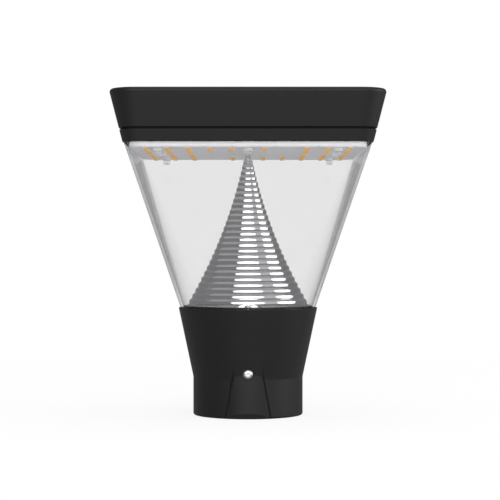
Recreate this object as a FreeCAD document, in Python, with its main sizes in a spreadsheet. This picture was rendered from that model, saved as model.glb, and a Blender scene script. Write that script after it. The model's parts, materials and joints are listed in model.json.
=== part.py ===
"""Post-top garden lantern: a square die-cast head over a clear tapered diffuser with a stepped
reflector cone, on a round cast base that slips over a post spigot and is held by three screws.

Millimetres. +Z is up, the origin is on the axis at the foot of the collar, and -Y is the front,
the side with a clamp screw at its middle. Every size that can be set by itself is in SIZES.
"""

import FreeCAD, Part
import math
import os

import Sketcher

Vector = FreeCAD.Vector

# ---------------------------------------------------------------------------------------------
# Sizes
# ---------------------------------------------------------------------------------------------

SIZES = [
    # the socket that slips over the post, and the base around it
    ("spigot_radius", 38.0, "radius of the post spigot the socket takes"),
    ("spigot_clearance", 0.25, "radial room between spigot and socket"),
    ("socket_depth", 58.0, "height of the stop that rests on the post"),
    ("socket_wall", 4.0, "wall of the socket tube"),
    ("collar_radius", 54.8, "outside of the plain collar"),
    ("collar_height", 38.2, "where the collar opens into the cone"),
    ("collar_round", 2.0, "rounded foot of the collar"),
    ("rim_radius", 69.5, "outside of the base rim"),
    ("rim_height", 107.4, "top of the base rim"),
    ("rim_round", 0.7, "rounded top edge of the rim"),
    ("casting_wall", 3.5, "wall of the base casting"),
    ("shelf_thickness", 3.5, "plate over the socket"),
    ("inlet_radius", 11.0, "hole for the supply cable in the shelf"),
    ("lip_thickness", 1.5, "thin lip of the rim round the diffuser"),
    ("seat_depth", 4.0, "how deep the diffuser stands in the rim"),
    ("ledge_radius", 55.0, "opening of the ledge under the rim"),
    ("ledge_thickness", 3.5, "thickness of that ledge"),
    # the clamp screws and the pads they sit on
    ("clamp_height", 43.9, "centre of the clamp screws"),
    ("clamp_boss_radius", 6.5, "bosses that carry the screws' threads"),
    ("clamp_shank_radius", 2.5, "clamp screw thread"),
    ("clamp_head_radius", 4.75, "domed head"),
    ("clamp_head_height", 2.75, "height of the domed head"),
    ("clamp_head_edge", 0.7, "upright edge of that head"),
    ("clamp_head_flat", 2.3, "radius of the flat on top of it"),
    ("clamp_socket_flats", 3.0, "hexagon socket, across flats"),
    ("clamp_socket_depth", 1.6, "depth of the hexagon socket"),
    ("clamp_tip_gap", 0.4, "tip of the screw short of the socket bore"),
    ("thread_clearance", 0.1, "radial room round a moving thread"),
    ("pad_face", 55.9, "how far out the middle of a pad stands"),
    ("pad_curve", 44.0, "radius of the pad's own curve"),
    ("spot_radius", 6.3, "spot face round a clamp screw"),
    ("spot_depth", 0.9, "depth of that spot face"),
    ("flute_width", 1.9, "width of the two flutes beside a pad"),
    ("flute_depth", 1.3, "depth of the flutes on the collar"),
    ("flute_spread", 23.9, "angle from pad middle to flute, at the foot"),
    ("flute_lean", 11.3, "lean of the flutes towards each other"),
    ("flute_top", 60.0, "height where the flutes run out"),
    # the clear diffuser and its seals
    ("fit_clearance", 0.3, "room round a piece that drops into another"),
    ("lens_wall", 3.0, "wall of the diffuser"),
    ("lens_foot_width", 4.2, "inward flange at the diffuser's foot"),
    ("lens_corner", 14.3, "corner radius at the top of the diffuser"),
    ("lens_rim_height", 6.7, "straight rim inside the frame"),
    ("lens_flange_half", 107.0, "opening of the flange at the diffuser's top"),
    ("lens_flange_corner", 10.0, "corner radius of that opening"),
    ("lower_seal", 1.2, "gasket under the diffuser"),
    ("upper_seal", 1.5, "gasket over the diffuser"),
    # the square head
    ("frame_bottom", 266.3, "underside of the frame ring"),
    ("frame_half", 118.3, "half width of the frame at its underside"),
    ("frame_corner", 15.5, "corner radius at its underside"),
    ("frame_lip", 0.9, "lip of the frame round the diffuser"),
    ("frame_height", 11.2, "height of the frame ring"),
    ("frame_edge_round", 0.8, "rounded lower edge of the frame"),
    ("web_thickness", 3.0, "plate across the top of the frame"),
    ("web_opening", 75.0, "half width of the opening in that plate"),
    ("web_corner", 12.0, "corner radius of that opening"),
    ("reveal_height", 2.2, "shadow gap between frame and cover"),
    ("reveal_depth", 2.5, "how far the gasket stands back in the gap"),
    ("reveal_seal_width", 6.5, "width of the gasket in the gap"),
    ("head_height", 49.7, "height of the whole head, frame and cover"),
    ("head_half", 131.0, "half width of the cover at its top"),
    ("head_corner", 25.6, "corner radius at the top"),
    ("head_round", 3.0, "rounded top edge"),
    ("cover_wall", 3.5, "wall of the cover"),
    ("cover_foot", 4.0, "height of the inward foot of the cover"),
    ("cover_boss_radius", 6.0, "screw bosses in the cover"),
    ("cover_boss_place", 99.0, "their distance from the middle planes"),
    # the light engine
    ("tray_gap", 0.37, "room between heat spreader and diffuser"),
    ("tray_corner", 13.5, "corner radius of the heat spreader"),
    ("tray_thickness", 3.3, "its thickness"),
    ("board_thickness", 1.6, "metal-core circuit board"),
    ("board_screw_place", 86.0, "board screws from the middle planes"),
    ("board_boss_radius", 5.0, "stand-offs on the heat spreader"),
    ("board_spacer", 2.5, "insulating washer under a board screw"),
    ("board_spacer_radius", 4.2, "its radius"),
    ("board_shank_radius", 2.0, "board screw thread"),
    ("board_head_radius", 3.5, "board screw head"),
    ("board_head_height", 4.0, "board screw head"),
    ("led_width", 5.0, "side of one light-emitting package"),
    ("led_height", 1.5, "its height"),
    ("led_middle", 15.7, "first row from the middle planes"),
    ("led_pitch", 20.4, "step from row to row"),
    # the reflector cone and the tube over it
    ("cone_gap", 6.9, "room between the tip of the cone and the board"),
    ("cone_tip_radius", 4.8, "radius at the tip"),
    ("cone_slope", 0.21, "how fast the cone widens at the tip"),
    ("cone_flare", 0.001275, "how the widening grows with depth"),
    ("cone_wall", 2.0, "wall of the cone"),
    ("cone_solid_tip", 22.0, "solid length under the tip"),
    ("cone_flange", 1.5, "flange that clamps the diffuser's foot"),
    ("cone_foot_height", 8.0, "thick ring at the foot of the cone"),
    ("cone_foot_wall", 6.0, "wall of that ring"),
    ("cone_bays", 26.0, "number of steps"),
    ("cone_band_share", 0.55, "upright share of one step"),
    ("pocket_width", 27.0, "screw pockets in the foot of the cone"),
    ("pocket_height", 4.5, "height of a pocket"),
    ("pocket_wall", 58.6, "back wall of a pocket from the axis"),
    ("tube_radius", 3.0, "wire tube between cone and board"),
    ("tube_bore", 2.2, "its bore"),
    ("tube_below", 9.5, "thread under the solid tip"),
    ("tube_above", 4.5, "thread over the heat spreader"),
    ("tube_nut_radius", 5.5, "nuts of the tube, over the corners"),
    ("tube_nut_height", 3.0, "their height"),
    # small screws, all of one size
    ("screw_radius", 1.5, "thread of the small screws"),
    ("screw_head_radius", 2.6, "their heads"),
    ("screw_head_height", 1.8, "height of those heads"),
    ("screw_drive_radius", 1.0, "their round-ended drive recess"),
    ("screw_drive_depth", 1.0, "depth of that recess"),
    ("screw_hole_clearance", 0.1, "radial room in a screw hole"),
    ("cone_screw_circle", 61.9, "radius of the circle of cone screws"),
    ("cone_screw_length", 9.0, "their length"),
    ("deck_screw_circle", 57.4, "radius of the circle of deck screws"),
    ("deck_screw_length", 5.0, "their length"),
    ("driver_screw_place", 34.0, "driver screws from the middle plane"),
    ("driver_screw_length", 9.0, "their length"),
    ("cover_screw_length", 14.0, "length of the cover screws"),
    ("clip_screw_length", 8.0, "length of the clip screws"),
    # the supply, inside the base
    ("deck_thickness", 1.6, "steel deck that carries the supply"),
    ("deck_hole_radius", 4.0, "hole for the lead in the deck"),
    ("driver_length", 80.0, "power supply, along X"),
    ("driver_width", 50.0, "power supply, along Y"),
    ("driver_height", 22.0, "power supply, along Z"),
    ("driver_shift", 9.0, "its centre towards the front"),
    ("terminal_length", 36.0, "terminal block, along X"),
    ("terminal_width", 14.0, "terminal block, along Y"),
    ("terminal_height", 18.0, "terminal block, along Z"),
    ("terminal_back", 31.0, "its centre towards the back"),
    ("terminal_screw_radius", 2.6, "clamping screws of the terminal block"),
    ("terminal_screw_pitch", 11.0, "distance between those screws"),
    ("lead_radius", 1.8, "lead from supply to circuit board"),
    ("lead_bend", 18.0, "bend of that lead over the board"),
    ("lead_rise", 12.0, "how far it rises over the tube"),
    ("supply_lead_radius", 2.6, "lead from terminals to supply"),
    ("supply_lead_drop", 6.0, "its straight drop under the terminals"),
    ("plug_length", 14.0, "plug on the heat spreader, along X"),
    ("plug_width", 10.0, "plug, along Y"),
    ("plug_height", 8.0, "plug, along Z"),
    ("grommet_bore", 5.0, "bore of the supply cable's grommet"),
    ("grommet_rim", 2.2, "how far the grommet's rim stands out and up"),
    # the clips that hold the diffuser up in the frame
    ("clip_width", 14.0, "width of a clip"),
    ("clip_thickness", 1.6, "thickness of a clip"),
    ("clip_inner", 98.0, "inner end of a clip from the middle plane"),
    ("clip_reach", 3.5, "how far a clip reaches under the flange"),
    ("clip_place", 55.0, "clips from the other middle plane"),
]

doc = FreeCAD.newDocument("PostTopLantern")
sheet = doc.addObject("Spreadsheet::Sheet", "Sizes")
for row, (alias, value, meaning) in enumerate(SIZES, start=1):
    sheet.set(f"A{row}", meaning)
    sheet.set(f"B{row}", str(value))
    sheet.setAlias(f"B{row}", alias)
doc.recompute()


class Length:
    """A length that knows both its value and its formula in the sheet."""

    def __init__(self, value, text):
        self.value = float(value)
        self.text = text

    def __add__(self, other):
        other = length(other)
        return Length(self.value + other.value, f"({self.text} + {other.text})")

    def __sub__(self, other):
        other = length(other)
        return Length(self.value - other.value, f"({self.text} - {other.text})")

    def __mul__(self, other):
        other = length(other)
        return Length(self.value * other.value, f"({self.text} * {other.text})")

    def __truediv__(self, other):
        other = length(other)
        return Length(self.value / other.value, f"({self.text} / {other.text})")

    def __neg__(self):
        return Length(-self.value, f"(-1 * {self.text})")

    __radd__ = __add__

    def __rsub__(self, other):
        return length(other) - self


def length(number):
    """A Length as it is, or a plain number as a Length."""
    if isinstance(number, Length):
        return number
    return Length(number, repr(float(number)))


class Sizes:
    """Every alias of the sheet as a Length: S.rim_radius and so on."""


S = Sizes()
for alias, value, meaning in SIZES:
    setattr(S, alias, Length(sheet.get(alias), f"Sizes.{alias}"))

# ---------------------------------------------------------------------------------------------
# Places worked out from the sizes
# ---------------------------------------------------------------------------------------------

socket_radius = S.spigot_radius + S.spigot_clearance
shelf_top = S.socket_depth + S.shelf_thickness
seat_height = S.rim_height - S.seat_depth
ledge_bottom = seat_height - S.ledge_thickness
cone_run = (S.rim_radius - S.collar_radius) / (S.rim_height - S.collar_height)

lens_bottom = seat_height + S.lower_seal
lens_foot_radius = S.rim_radius - S.lip_thickness - S.fit_clearance
lens_half = S.frame_half - S.frame_lip - S.fit_clearance
lens_top = S.frame_bottom + S.lens_rim_height
lens_foot_inner = lens_foot_radius - S.lens_wall - S.lens_foot_width
foot_top = lens_bottom + S.lens_wall

web_bottom = lens_top + S.upper_seal
frame_top = S.frame_bottom + S.frame_height
web_top = web_bottom + S.web_thickness
cover_bottom = frame_top + S.reveal_height

tray_bottom = S.frame_bottom - S.tray_thickness
board_bottom = tray_bottom - S.board_thickness
lens_run = (lens_half - lens_foot_radius) / (S.frame_bottom - S.rim_height)
tray_half = lens_half - S.lens_wall - (S.frame_bottom - board_bottom) * lens_run - S.tray_gap
cone_top = board_bottom - S.cone_gap

deck_top = seat_height + S.deck_thickness
deck_radius = lens_foot_inner - S.fit_clearance
cone_bottom = foot_top
flange_top = cone_bottom + S.cone_flange

head_top = S.frame_bottom + S.head_height
head_run = (S.head_half - S.frame_half) / S.head_height
corner_run = (S.head_corner - S.frame_corner) / S.head_height


def head_half_at(height):
    """Half width of the head's straight sloping side at a height."""
    return S.frame_half + (height - S.frame_bottom) * head_run


def head_corner_at(height):
    """Corner radius of the head at a height."""
    return S.frame_corner + (height - S.frame_bottom) * corner_run


def base_radius_at(height):
    """Outside of the base's cone at a height."""
    return S.collar_radius + (height - S.collar_height) * cone_run


# ---------------------------------------------------------------------------------------------
# Sketches and features
# ---------------------------------------------------------------------------------------------

ORIGIN = (-1, 1)
H_AXIS = -1
V_AXIS = -2
CLAMP_COUNT = 3
CLAMP_ANGLES = {"front": -90.0, "right": 30.0, "left": 150.0}
CURVE_FLATS = 6  # short flats that make a quarter of a small turned curve
PAD_FOOT_STEEPNESS = 3.0  # rise over run of the flat that ends the foot's rounding
LED_LINES = 5  # rows of packages each side of the middle
LED_DEPTH = 3  # rows in the band round the board
HOLLOW_FLATS = 6  # straight lengths in the hollow of the cone
HOLLOW_STEP_SHARE = 0.3  # of a step: room for the ledges over the cone's wall
LENS_SEAM_SHARE = 0.05  # of the wall: what is left straight in the nearly round foot


def new_body(name):
    """A body whose label is the name of the piece."""
    body = doc.addObject("PartDesign::Body", name)
    body.Label = name
    body.AllowCompound = True
    return body


def origin_plane(body, role):
    """One of the body's own origin planes or axes."""
    return [item for item in body.Origin.OriginFeatures if item.Role == role][0]


def new_sketch(body, name, plane="XY_Plane", height=None):
    """A sketch on an origin plane, lifted along the plane's normal."""
    sketch = body.newObject("Sketcher::SketchObject", name)
    sketch.AttachmentSupport = [(origin_plane(body, plane), "")]
    sketch.MapMode = "FlatFace"
    if height is not None:
        sketch.AttachmentOffset = FreeCAD.Placement(
            Vector(0, 0, height.value), FreeCAD.Rotation()
        )
        sketch.setExpression(".AttachmentOffset.Base.z", height.text)
    return sketch


def fix(sketch, kind, first, second, amount):
    """One dimension bound to its formula."""
    amount = length(amount)
    index = sketch.addConstraint(
        Sketcher.Constraint(kind, *first, *second, amount.value)
    )
    if "Sizes" in amount.text:
        sketch.setExpression(f"Constraints[{index}]", amount.text)


def fix_point(sketch, item, across, up):
    """Hold one point of the sketch at a place measured from the origin."""
    for kind, axis, amount in (("DistanceX", V_AXIS, across), ("DistanceY", H_AXIS, up)):
        if length(amount).value == 0.0:
            sketch.addConstraint(Sketcher.Constraint("PointOnObject", *item, axis))
        else:
            fix(sketch, kind, ORIGIN, item, amount)


def outline(sketch, corners):
    """A closed outline of straight edges through its corners."""
    corners = [(length(across), length(up)) for across, up in corners]
    points = [Vector(across.value, up.value, 0) for across, up in corners]
    count = len(points)
    first = sketch.GeometryCount
    for index in range(count):
        sketch.addGeometry(
            Part.LineSegment(points[index], points[(index + 1) % count]), False
        )
    for index in range(count):
        after = first + (index + 1) % count
        sketch.addConstraint(Sketcher.Constraint("Coincident", first + index, 2, after, 1))
    for index, (across, up) in enumerate(corners):
        fix_point(sketch, (first + index, 1), across, up)


def rectangle(sketch, left, right, low, high):
    """A rectangle between two uprights and two levels."""
    outline(sketch, [(left, low), (right, low), (right, high), (left, high)])


def circle(sketch, across, up, radius):
    """One circle, its centre and radius bound."""
    across, up = length(across), length(up)
    index = sketch.addGeometry(
        Part.Circle(Vector(across.value, up.value, 0), Vector(0, 0, 1), radius.value), False
    )
    fix_point(sketch, (index, 3), across, up)
    fix(sketch, "Radius", (index,), (), radius)


def rounded_square(sketch, half, corner):
    """A square about the origin with rounded corners: an arc, a side, an arc and so on."""
    inner = half - corner
    signs = [(1, 1), (-1, 1), (-1, -1), (1, -1)]
    first = sketch.GeometryCount
    arcs = []
    for quarter, (across, up) in enumerate(signs):
        centre = Vector(across * inner.value, up * inner.value, 0)
        ring = Part.Circle(centre, Vector(0, 0, 1), corner.value)
        start = quarter * math.pi / 2
        arcs.append(Part.ArcOfCircle(ring, start, start + math.pi / 2))
    for quarter, arc in enumerate(arcs):
        sketch.addGeometry(arc, False)
        after = arcs[(quarter + 1) % 4]
        sketch.addGeometry(Part.LineSegment(arc.EndPoint, after.StartPoint), False)
    for quarter, (across, up) in enumerate(signs):
        arc = first + 2 * quarter
        side = arc + 1
        after = first + (2 * quarter + 2) % 8
        sketch.addConstraint(Sketcher.Constraint("Coincident", arc, 2, side, 1))
        sketch.addConstraint(Sketcher.Constraint("Coincident", side, 2, after, 1))
        fix_point(sketch, (arc, 3), inner * across, inner * up)
        start_way, end_way = ("Horizontal", "Vertical")
        if quarter % 2:
            start_way, end_way = end_way, start_way
        sketch.addConstraint(Sketcher.Constraint(start_way, arc, 3, arc, 1))
        sketch.addConstraint(Sketcher.Constraint(end_way, arc, 3, arc, 2))
    fix(sketch, "Radius", (first,), (), corner)
    for quarter in range(1, 4):
        sketch.addConstraint(Sketcher.Constraint("Equal", first, first + 2 * quarter))


def pad(body, sketch, depth, down=False, midplane=False):
    """Material from a sketch, along its normal or against it."""
    feature = body.newObject("PartDesign::Pad", sketch.Name + "_pad")
    feature.Profile = sketch
    feature.Length = depth.value
    feature.setExpression("Length", depth.text)
    feature.Reversed = down
    feature.Midplane = midplane
    return feature


def cut(body, sketch, depth, along=False, midplane=False):
    """A pocket from a sketch, against its normal unless along is set."""
    feature = body.newObject("PartDesign::Pocket", sketch.Name + "_cut")
    feature.Profile = sketch
    feature.Length = depth.value
    feature.setExpression("Length", depth.text)
    feature.Reversed = along
    feature.Midplane = midplane
    return feature


def turn(body, sketch):
    """A full turn of a sketch about the upright axis."""
    feature = body.newObject("PartDesign::Revolution", sketch.Name + "_turned")
    feature.Profile = sketch
    feature.ReferenceAxis = (sketch, ["V_Axis"])
    feature.Angle = 360.0
    return feature


def loft(body, kind, sections):
    """A straight-sided loft through sketches."""
    feature = body.newObject(f"PartDesign::{kind}Loft", sections[0].Name + "_loft")
    feature.Profile = sections[0]
    feature.Sections = sections[1:]
    feature.Ruled = True
    return feature


def repeat_round(body, features, name):
    """The features again at each clamp screw, a third of a turn apart."""
    feature = body.newObject("PartDesign::PolarPattern", name)
    feature.Originals = features
    feature.Axis = (origin_plane(body, "Z_Axis"), [""])
    feature.Angle = 360.0
    feature.Occurrences = CLAMP_COUNT
    body.Tip = feature
    return feature


def round_edges(body, base, wanted, radius, name):
    """Round the edges of a feature that a test picks out."""
    doc.recompute()
    edges = [
        f"Edge{number}"
        for number, edge in enumerate(base.Shape.Edges, start=1)
        if wanted(edge)
    ]
    feature = body.newObject("PartDesign::Fillet", name)
    feature.Base = (base, edges)
    feature.Radius = radius.value
    feature.setExpression("Radius", radius.text)
    return feature


def square_block(body, name, bottom, top, low, high):
    """Sloping square block: low and high are (half width, corner radius)."""
    sections = []
    for level, height, (half, corner) in (("low", bottom, low), ("high", top, high)):
        sketch = new_sketch(body, f"{name}_{level}", height=height)
        rounded_square(sketch, half, corner)
        sections.append(sketch)
    return sections


def curve_point(number):
    """How far out and up a quarter turn has come after that many of its flats."""
    angle = math.radians(90.0 * number / CURVE_FLATS)
    return round(math.sin(angle), 6), round(1.0 - math.cos(angle), 6)


def polar(radius, degrees):
    """A place on a circle about the axis."""
    angle = math.radians(degrees)
    return radius * round(math.cos(angle), 12), radius * round(math.sin(angle), 12)


def box_body(name, left, right, front, back, bottom, top):
    """A plain block between three pairs of levels."""
    body = new_body(name)
    sketch = new_sketch(body, f"{name}_plan", height=bottom)
    rectangle(sketch, left, right, front, back)
    pad(body, sketch, top - bottom)
    return body


def holes(body, name, places, radius, top, depth):
    """Round holes sunk down from a level."""
    sketch = new_sketch(body, name, height=top)
    for across, up in places:
        circle(sketch, across, up, radius)
    return cut(body, sketch, depth)


def screw_group(name, places, seat, shank_length, up=False):
    """Small pan-head screws whose heads bear on a level; up means the thread points up."""
    body = new_body(name)
    shank = new_sketch(body, f"{name}_shank", height=seat)
    head = new_sketch(body, f"{name}_head", height=seat)
    face = seat - S.screw_head_height if up else seat + S.screw_head_height
    drive = new_sketch(body, f"{name}_drive", height=face)
    for across, along in places:
        circle(shank, across, along, S.screw_radius)
        circle(head, across, along, S.screw_head_radius)
        circle(drive, across, along, S.screw_drive_radius)
    pad(body, head, S.screw_head_height, down=up)
    pad(body, shank, shank_length, down=not up)
    cut(body, drive, S.screw_drive_depth, along=up)
    return body


def ring_body(name, inner, outer, bottom, height):
    """A flat turned ring."""
    body = new_body(name)
    sketch = new_sketch(body, f"{name}_section", "XZ_Plane")
    rectangle(sketch, inner, outer, bottom, bottom + height)
    turn(body, sketch)
    return body


# ---------------------------------------------------------------------------------------------
# Places of the fasteners
# ---------------------------------------------------------------------------------------------

screw_hole = S.screw_radius + S.screw_hole_clearance
cone_screw_places = [polar(S.cone_screw_circle, angle) for angle in CLAMP_ANGLES.values()]
deck_screw_places = [polar(S.deck_screw_circle, angle + 60.0) for angle in CLAMP_ANGLES.values()]
driver_screw_places = [(S.driver_screw_place * side, -S.driver_shift) for side in (-1, 1)]
corner_signs = [(across, along) for across in (-1, 1) for along in (-1, 1)]
cover_screw_places = [
    (S.cover_boss_place * across, S.cover_boss_place * along) for across, along in corner_signs
]
board_screw_places = [
    (S.board_screw_place * across, S.board_screw_place * along)
    for across in (-1, 0, 1)
    for along in (-1, 0, 1)
    if (across, along) != (0, 0)
]

# ---------------------------------------------------------------------------------------------
# Base: one casting with the socket, the skirt round it, the seat and the pads
# ---------------------------------------------------------------------------------------------


def make_base():
    """The cast base."""
    body = new_body("base_casting")
    section = new_sketch(body, "base_section", "XZ_Plane")
    skirt = S.collar_radius - S.casting_wall
    outline(
        section,
        [
            (skirt, 0),
            (S.collar_radius, 0),
            (S.collar_radius, S.collar_height),
            (S.rim_radius, S.rim_height),
            (S.rim_radius - S.lip_thickness, S.rim_height),
            (S.rim_radius - S.lip_thickness, seat_height),
            (S.ledge_radius, seat_height),
            (S.ledge_radius, ledge_bottom),
            (base_radius_at(ledge_bottom) - S.casting_wall, ledge_bottom),
            (base_radius_at(shelf_top) - S.casting_wall, shelf_top),
            (S.inlet_radius, shelf_top),
            (S.inlet_radius, S.socket_depth),
            (socket_radius, S.socket_depth),
            (socket_radius, 0),
            (socket_radius + S.socket_wall, 0),
            (socket_radius + S.socket_wall, S.socket_depth),
            (base_radius_at(S.socket_depth) - S.casting_wall, S.socket_depth),
            (skirt, S.collar_height),
        ],
    )
    turn(body, section)

    # bosses between socket and skirt that carry the screw threads, one at each screw
    boss = new_sketch(body, "clamp_boss", "XZ_Plane", height=socket_radius + S.socket_wall / 2)
    circle(boss, 0, S.clamp_height, S.clamp_boss_radius)
    boss_pad = pad(body, boss, skirt + S.casting_wall / 2 - socket_radius - S.socket_wall / 2)

    # a gently bulged pad on the front of the collar, standing out most at its middle
    pad_plan = new_sketch(body, "pad_plan")
    reach = S.pad_curve.value
    centre = Vector(0, S.pad_curve.value - S.pad_face.value, 0)
    half_angle = math.radians(S.flute_spread.value)
    ring = Part.Circle(centre, Vector(0, 0, 1), reach)
    arc = pad_plan.addGeometry(
        Part.ArcOfCircle(ring, -math.pi / 2 - half_angle, -math.pi / 2 + half_angle), False
    )
    a = pad_plan.getPoint(arc, 1)
    b = pad_plan.getPoint(arc, 2)
    chord = pad_plan.addGeometry(Part.LineSegment(b, a), False)
    pad_plan.addConstraint(Sketcher.Constraint("Coincident", arc, 2, chord, 1))
    pad_plan.addConstraint(Sketcher.Constraint("Coincident", chord, 2, arc, 1))
    pad_plan.addConstraint(Sketcher.Constraint("Horizontal", chord))
    fix_point(pad_plan, (arc, 3), 0, S.pad_curve - S.pad_face)
    fix(pad_plan, "Radius", (arc,), (), S.pad_curve)
    half_chord = S.pad_curve * round(math.sin(half_angle), 6)
    fix(pad_plan, "DistanceX", ORIGIN, (arc, 2), half_chord)
    pad_height = S.collar_height + (S.pad_face - S.collar_radius) / cone_run
    pad_feature = pad(body, pad_plan, pad_height)

    # spot face and threaded hole for the screw
    spot = new_sketch(body, "spot_face", "XZ_Plane", height=S.pad_face - S.spot_depth)
    circle(spot, 0, S.clamp_height, S.spot_radius)
    spot_cut = cut(body, spot, S.clamp_boss_radius * 2, along=True)
    bore = new_sketch(body, "clamp_bore", "XZ_Plane", height=socket_radius - S.socket_wall)
    circle(bore, 0, S.clamp_height, S.clamp_shank_radius + S.thread_clearance)
    bore_cut = cut(body, bore, S.rim_radius, along=True)
    repeat_round(body, [boss_pad, pad_feature, spot_cut, bore_cut], "clamp_places")

    # the rounded foot of the collar, turned away in short flats that carry on up the pads
    foot = new_sketch(body, "foot_round", "XZ_Plane")
    inner = S.collar_radius - S.collar_round
    beyond = S.rim_radius
    curve = []
    for number in range(CURVE_FLATS + 1):
        out, rise = curve_point(number)
        curve.append((inner + S.collar_round * out, S.collar_round * rise))
    steep = S.collar_round + (beyond - S.collar_radius) * PAD_FOOT_STEEPNESS
    outline(foot, curve + [(beyond, steep), (beyond, -S.collar_round), (inner, -S.collar_round)])
    groove = body.newObject("PartDesign::Groove", "foot_rounding")
    groove.Profile = foot
    groove.ReferenceAxis = (foot, ["V_Axis"])
    groove.Angle = 360.0
    body.Tip = groove

    # two flutes beside each pad, leaning together and running out on the cone
    flutes = []
    for side in (-1, 1):
        flute = new_sketch(body, f"flute_{'left' if side < 0 else 'right'}", "XZ_Plane")
        away = FreeCAD.Rotation(Vector(0, 1, 0), -90.0 + side * S.flute_spread.value)
        lean = FreeCAD.Rotation(Vector(1, 0, 0), side * S.flute_lean.value)
        flute.AttachmentOffset = FreeCAD.Placement(Vector(0, 0, 0), away.multiply(lean))
        floor = S.collar_radius - S.flute_depth
        beyond = S.rim_radius + S.casting_wall
        outline(
            flute,
            [
                (floor, -S.socket_wall),
                (beyond, -S.socket_wall),
                (beyond, S.flute_top),
                (base_radius_at(S.flute_top) - S.flute_depth / 2, S.flute_top),
                (floor - S.flute_depth / 4, S.collar_height),
            ],
        )
        flutes.append(cut(body, flute, S.flute_width, midplane=True))
    repeat_round(body, flutes, "flute_places")

    # holes in the ledge for the deck and cone screws
    for name, places in (("ledge_deck", deck_screw_places), ("ledge_cone", cone_screw_places)):
        last = holes(body, name, places, screw_hole, seat_height, S.cone_screw_length)

    def rim_edge(edge):
        box = edge.BoundBox
        high = abs(box.ZMin - S.rim_height.value) < 0.001
        return high and box.XMax > S.rim_radius.value - 0.001

    round_edges(body, last, rim_edge, S.rim_round, "rim_rounding")
    return body


base_casting = make_base()

# ---------------------------------------------------------------------------------------------
# Clamp screws: domed heads with a hexagon socket, in the pads
# ---------------------------------------------------------------------------------------------


def make_clamp_screw(side, degrees):
    """One clamp screw, drawn along -Y and turned to its place about the axis."""
    body = new_body(f"clamp_screw_{side}")
    section = new_sketch(body, f"clamp_section_{side}", "YZ_Plane")
    seat = S.pad_face - S.spot_depth
    tip = socket_radius + S.clamp_tip_gap
    level = S.clamp_height
    face = seat + S.clamp_head_height
    dome = []
    for number in range(CURVE_FLATS + 1):
        out, rise = curve_point(number)
        height = seat + S.clamp_head_edge + (S.clamp_head_height - S.clamp_head_edge) * out
        radius = S.clamp_head_radius - (S.clamp_head_radius - S.clamp_head_flat) * rise
        dome.append((-height, level + radius))
    outline(
        section,
        [
            (-tip, level),
            (-tip, level + S.clamp_shank_radius),
            (-seat, level + S.clamp_shank_radius),
            (-seat, level + S.clamp_head_radius),
            *dome,
            (-face, level),
        ],
    )
    reach = Vector(S.clamp_head_radius.value, level.value, 0)
    axis_line = section.addGeometry(
        Part.LineSegment(Vector(0, level.value, 0), reach), True
    )
    section.addConstraint(Sketcher.Constraint("Horizontal", axis_line))
    fix_point(section, (axis_line, 1), 0, level)
    fix(section, "DistanceX", ORIGIN, (axis_line, 2), S.clamp_head_radius)
    feature = body.newObject("PartDesign::Revolution", f"clamp_turned_{side}")
    feature.Profile = section
    feature.ReferenceAxis = (section, ["Axis0"])
    feature.Angle = 360.0
    socket = new_sketch(body, f"clamp_socket_{side}", "XZ_Plane", height=face)
    across = S.clamp_socket_flats / round(math.sqrt(3), 6)
    corners = []
    for corner in range(6):
        angle = math.radians(60.0 * corner + 30.0)
        corners.append(
            (across * round(math.cos(angle), 6), level + across * round(math.sin(angle), 6))
        )
    outline(socket, corners)
    cut(body, socket, S.clamp_socket_depth)
    body.Placement = FreeCAD.Placement(
        Vector(0, 0, 0), FreeCAD.Rotation(Vector(0, 0, 1), degrees + 90.0)
    )
    return body


clamp_screws = [make_clamp_screw(side, degrees) for side, degrees in CLAMP_ANGLES.items()]

# ---------------------------------------------------------------------------------------------
# Seals and the clear diffuser, square at the top and round at the foot
# ---------------------------------------------------------------------------------------------

lower_gasket = ring_body(
    "lower_gasket", lens_foot_inner, lens_foot_radius, seat_height, S.lower_seal
)
holes(lower_gasket, "lower_gasket_holes", cone_screw_places, screw_hole, lens_bottom, S.lower_seal)


def make_diffuser():
    """Clear diffuser: a straight-sided loft from a rounded square to a circle, with its rims."""
    body = new_body("diffuser")
    seam = S.lens_wall * LENS_SEAM_SHARE
    foot = S.rim_height
    inner_foot = lens_foot_radius - S.lens_wall
    inner_half = lens_half - S.lens_wall
    inner_corner = S.lens_corner - S.lens_wall

    outer = square_block(
        body,
        "lens_outer",
        foot,
        S.frame_bottom,
        (lens_foot_radius, lens_foot_radius - seam),
        (lens_half, S.lens_corner),
    )
    loft(body, "Additive", outer)
    rim = new_sketch(body, "lens_rim", height=S.frame_bottom)
    rounded_square(rim, lens_half, S.lens_corner)
    pad(body, rim, S.lens_rim_height)
    drum = new_sketch(body, "lens_foot", height=lens_bottom)
    rounded_square(drum, lens_foot_radius, lens_foot_radius - seam)
    pad(body, drum, foot - lens_bottom)

    inner = square_block(
        body,
        "lens_inner",
        foot_top,
        S.frame_bottom,
        (inner_foot, inner_foot - seam),
        (inner_half, inner_corner),
    )
    loft(body, "Subtractive", inner)
    inner_rim = new_sketch(body, "lens_inner_rim", height=S.frame_bottom)
    rounded_square(inner_rim, inner_half, inner_corner)
    cut(body, inner_rim, S.lens_rim_height - S.lens_wall, along=True)
    opening = new_sketch(body, "lens_opening", height=lens_top)
    rounded_square(opening, S.lens_flange_half, S.lens_flange_corner)
    cut(body, opening, S.lens_wall * 2)
    base_opening = new_sketch(body, "lens_base_opening", height=foot_top)
    circle(base_opening, 0, 0, lens_foot_inner)
    cut(body, base_opening, S.lens_wall * 2)
    holes(body, "lens_screw_holes", cone_screw_places, screw_hole, foot_top, S.lens_wall * 2)
    return body


diffuser = make_diffuser()

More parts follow.
